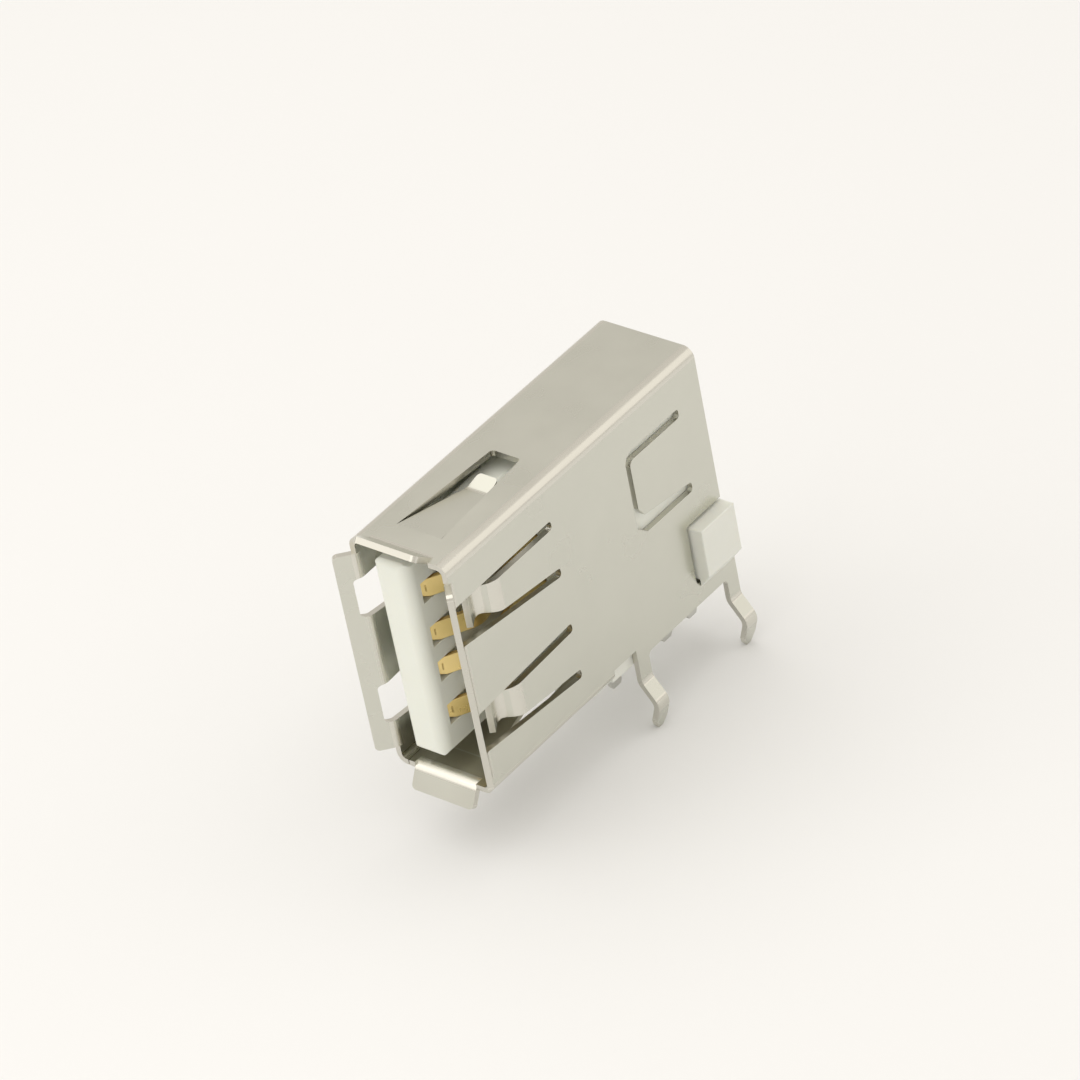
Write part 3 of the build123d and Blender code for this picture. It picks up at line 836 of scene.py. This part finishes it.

# %% [markdown]
# The mouldings are a white engineering plastic with a greenish cast. It is slightly translucent, so
# a little subsurface light keeps its shadows soft. A plain gloss would look like wet paint, so a
# matt grain from the mould keeps the highlights broad. The guide's colour is a shade greyer: a
# painted shade for the side light it gets.

# %% White moulded plastic
def moulded_plastic(material, name, dark, light):
    """White plastic with drifting tone and a fine mould grain."""
    tree, shader = new_material(material, name)
    clouds = place_group(tree, cloud_tree, Cloud_Size=2.6 * MM, Grain_Size=0.05 * MM)
    wire(tree, blend(tree, clouds.outputs["Cloud"], dark, light), shader.inputs["Base Color"])
    wire(tree, spread(tree, clouds.outputs["Grain"], 0.42, 0.55), shader.inputs["Roughness"])
    wire(tree, raise_bump(tree, clouds.outputs["Grain"], 0.006, 0.3), shader.inputs["Normal"])
    shader.inputs["Subsurface Weight"].default_value = 0.12
    shader.inputs["Subsurface Radius"].default_value = (0.4 * MM, 0.35 * MM, 0.25 * MM)
    shader.inputs["Subsurface Scale"].default_value = 1.0
    print("material:", material.name)


guide_plastic = bpy.data.materials.new("white guide moulding with painted shade")
moulded_plastic(insulator, insulator.name, dark=(0.80, 0.82, 0.75), light=(0.85, 0.87, 0.80))
# The guide's colours are a shade greyer than the housing's: a painted shade.
moulded_plastic(guide_plastic, guide_plastic.name, dark=(0.74, 0.75, 0.69), light=(0.80, 0.81, 0.755))

# %% [markdown]
# The contacts are copper alloy with a thin flash of gold where a plug touches, and tin below the
# board line for soldering. Two materials on one strip would meet in a ruled line. So one material
# changes from one to the other by its height, with a wavy edge like that of a dipped bath.

# %% Gilt contacts with tinned tails
GILT_DARK = (0.86, 0.66, 0.27)
GILT_LIGHT = (0.93, 0.74, 0.35)
GILT_CUT = (0.80, 0.57, 0.24)
TIN_DARK = (0.58, 0.575, 0.54)
TIN_LIGHT = (0.68, 0.675, 0.64)
TIN_TOP, GILT_FOOT = 0.8, 1.4
BATH_WAVE = 0.6

tree, shader = new_material(contact_metal, "gilt contact strip")
clouds = place_group(tree, cloud_tree, Cloud_Size=0.9 * MM, Grain_Size=0.05 * MM)
rolled = place_group(tree, line_tree, Line_Size=0.04 * MM, Scratch_Share=0.16)
coordinates = add_node(tree, "ShaderNodeTexCoord")
height = add_node(tree, "ShaderNodeSeparateXYZ")
wire(tree, coordinates.outputs["Object"], height.inputs["Vector"])
wavy = multiply_add(tree, clouds.outputs["Cloud"], BATH_WAVE * MM, height.outputs["Z"])
gilt_share = spread(tree, wavy, 0.0, 1.0, TIN_TOP * MM, GILT_FOOT * MM)
gilt = blend(tree, clouds.outputs["Cloud"], GILT_DARK, GILT_LIGHT)
gilt_edge = blend(tree, read_mark(tree, "sheared"), gilt, GILT_CUT)
tinned = blend(tree, clouds.outputs["Cloud"], TIN_DARK, TIN_LIGHT)
satin = raise_bump(tree, clouds.outputs["Grain"], 0.004, 0.25)
scratched = raise_bump(tree, rolled.outputs["Scratches"], -0.004, 0.3, satin)
wire(tree, blend(tree, gilt_share, tinned, gilt_edge), shader.inputs["Base Color"])
wire(tree, spread(tree, clouds.outputs["Cloud"], 0.26, 0.40), shader.inputs["Roughness"])
wire(tree, scratched, shader.inputs["Normal"])
shader.inputs["Metallic"].default_value = 1.0
print("material:", contact_metal.name)

# %% [markdown]
# Now each piece gets its finish and rides on the one body of the part, and its solid is hidden. The
# rings have no solid of their own and only ride along.

# %% Dress the pieces
dressed = [
    (shell, shell_plate, "shell_plate", "shell"),
    (housing, insulator, "insulator", "housing"),
    (tail_guide, guide_plastic, "guide_plastic", "tail_guide"),
] + [(strip, contact_metal, "contact_metal", f"contact_{i}") for i, strip in enumerate(strips, 1)]
body = next(iter(frame["bodies"]))
for piece, material, slot, node in dressed:
    piece.data.materials.clear()
    piece.data.materials.append(material)
    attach(piece, body)
    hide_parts(node)
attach(pin_rings, body)
print("dressed:", [piece.name for piece, material, slot, node in dressed], "on", body)

# %% [markdown]
# The stage is a pale floor under the legs. A curved backdrop would do as well, but a large flat
# floor hides its own edge and gives the upright walls one calm tone to reflect.

# %% Floor
FLOOR_SIDE = 3.0
FLOOR_GAP = 0.01 * MM

bpy.ops.mesh.primitive_plane_add(size=FLOOR_SIDE, location=(0, 0, solid_low.z - FLOOR_GAP))
floor = bpy.context.object
floor.name = "pale_floor"
floor_paint = bpy.data.materials.new("pale floor paint")
tree, shader = new_material(floor_paint, "pale floor paint")
clouds = place_group(tree, cloud_tree, Cloud_Size=60 * MM, Grain_Size=0.4 * MM)
tone = blend(tree, clouds.outputs["Cloud"], (0.815, 0.82, 0.825), (0.835, 0.84, 0.845))
wire(tree, tone, shader.inputs["Base Color"])
shader.inputs["Roughness"].default_value = 0.7
floor.data.materials.append(floor_paint)
print("floor at z in mm:", round(floor.location.z / MM, 2))

# %% [markdown]
# Satin metal looks like what surrounds it, so the lights are placed by what each face mirrors. Bare
# bulbs would show as hard dots, and softboxes show as broad calm lines. A wide one hangs above, a
# smaller one behind on the right lights the long fold, and a low one in front lights the lips and
# the tongue.

# %% Softboxes
def softbox(name, place, aim, size, power, colour):
    """Rectangular area lamp at a place in millimetres, aimed at a point."""
    lamp = bpy.data.lights.new(name, "AREA")
    lamp.shape = "RECTANGLE"
    lamp.size, lamp.size_y = (s * MM for s in size)
    lamp.energy = power
    lamp.color = colour
    stand = bpy.data.objects.new(name, lamp)
    stand.location = Vector(place) * MM
    stand.rotation_euler = (Vector(aim) - Vector(place)).to_track_quat("-Z", "Y").to_euler()
    bpy.context.scene.collection.objects.link(stand)
    print(name, "at", place)


SOFT_WHITE = (1.0, 0.985, 0.95)
WARM_WHITE = (1.0, 0.97, 0.92)
PART_MIDDLE = (0, -5, 6)
softbox("top_softbox", (-60, -60, 300), (-60, -60, 0), size=(520, 400), power=0.50, colour=SOFT_WHITE)
softbox("rear_softbox", (192, 198, 160), PART_MIDDLE, size=(260, 260), power=0.085, colour=WARM_WHITE)
softbox("front_softbox", (-78, -213, 136), PART_MIDDLE, size=(340, 130), power=0.11, colour=SOFT_WHITE)

# %% [markdown]
# The room around the stage fills every shadow and is what the flat top of the shell mirrors. Walls
# could be built, but a plain world colour does the same. It is a warm light grey, which gives the
# top its tone.

# %% World
ROOM_GREY = (0.785, 0.75, 0.70)

world = bpy.data.worlds.new("calm grey room")
bpy.context.scene.world = world
world.use_nodes = True
background = world.node_tree.nodes["Background"]
background.inputs["Color"].default_value = (*ROOM_GREY, 1.0)
background.inputs["Strength"].default_value = 1.0
print("world:", world.name)

# %% [markdown]
# The camera stands well back with a long lens, which keeps parallel edges nearly parallel. Its
# place and its three directions could be turned by hand until they fit, but vectors say them
# exactly, and the lens length follows from how many pixels one radian covers.

# %% Camera
CAMERA_PLACE = (172.05, -178.12, 182.75)
CAMERA_RIGHT = Vector((0.7765, 0.6083, -0.1644))
CAMERA_BACK = Vector((0.5738, -0.5748, 0.5833))
PIXELS_PER_RADIAN = 6501.56
IMAGE_SIDE = 1080

lens = bpy.data.cameras.new("long_lens")
lens.sensor_width = 36.0
lens.lens = PIXELS_PER_RADIAN * lens.sensor_width / IMAGE_SIDE
lens.clip_start = 0.01
lens.clip_end = 10.0
camera = bpy.data.objects.new("camera", lens)
up = CAMERA_BACK.cross(CAMERA_RIGHT).normalized()
right = up.cross(CAMERA_BACK).normalized()
axes = Matrix((right, up, CAMERA_BACK.normalized())).transposed()
camera.matrix_world = Matrix.Translation(Vector(CAMERA_PLACE) * MM) @ axes.to_4x4()
bpy.context.scene.collection.objects.link(camera)
bpy.context.scene.camera = camera
print("lens in mm:", round(lens.lens, 1))

# %% [markdown]
# Last, the view transform is set to Standard, so that colours come out as they are written.

# %% Set the view transform
bpy.context.scene.view_settings.view_transform = "Standard"
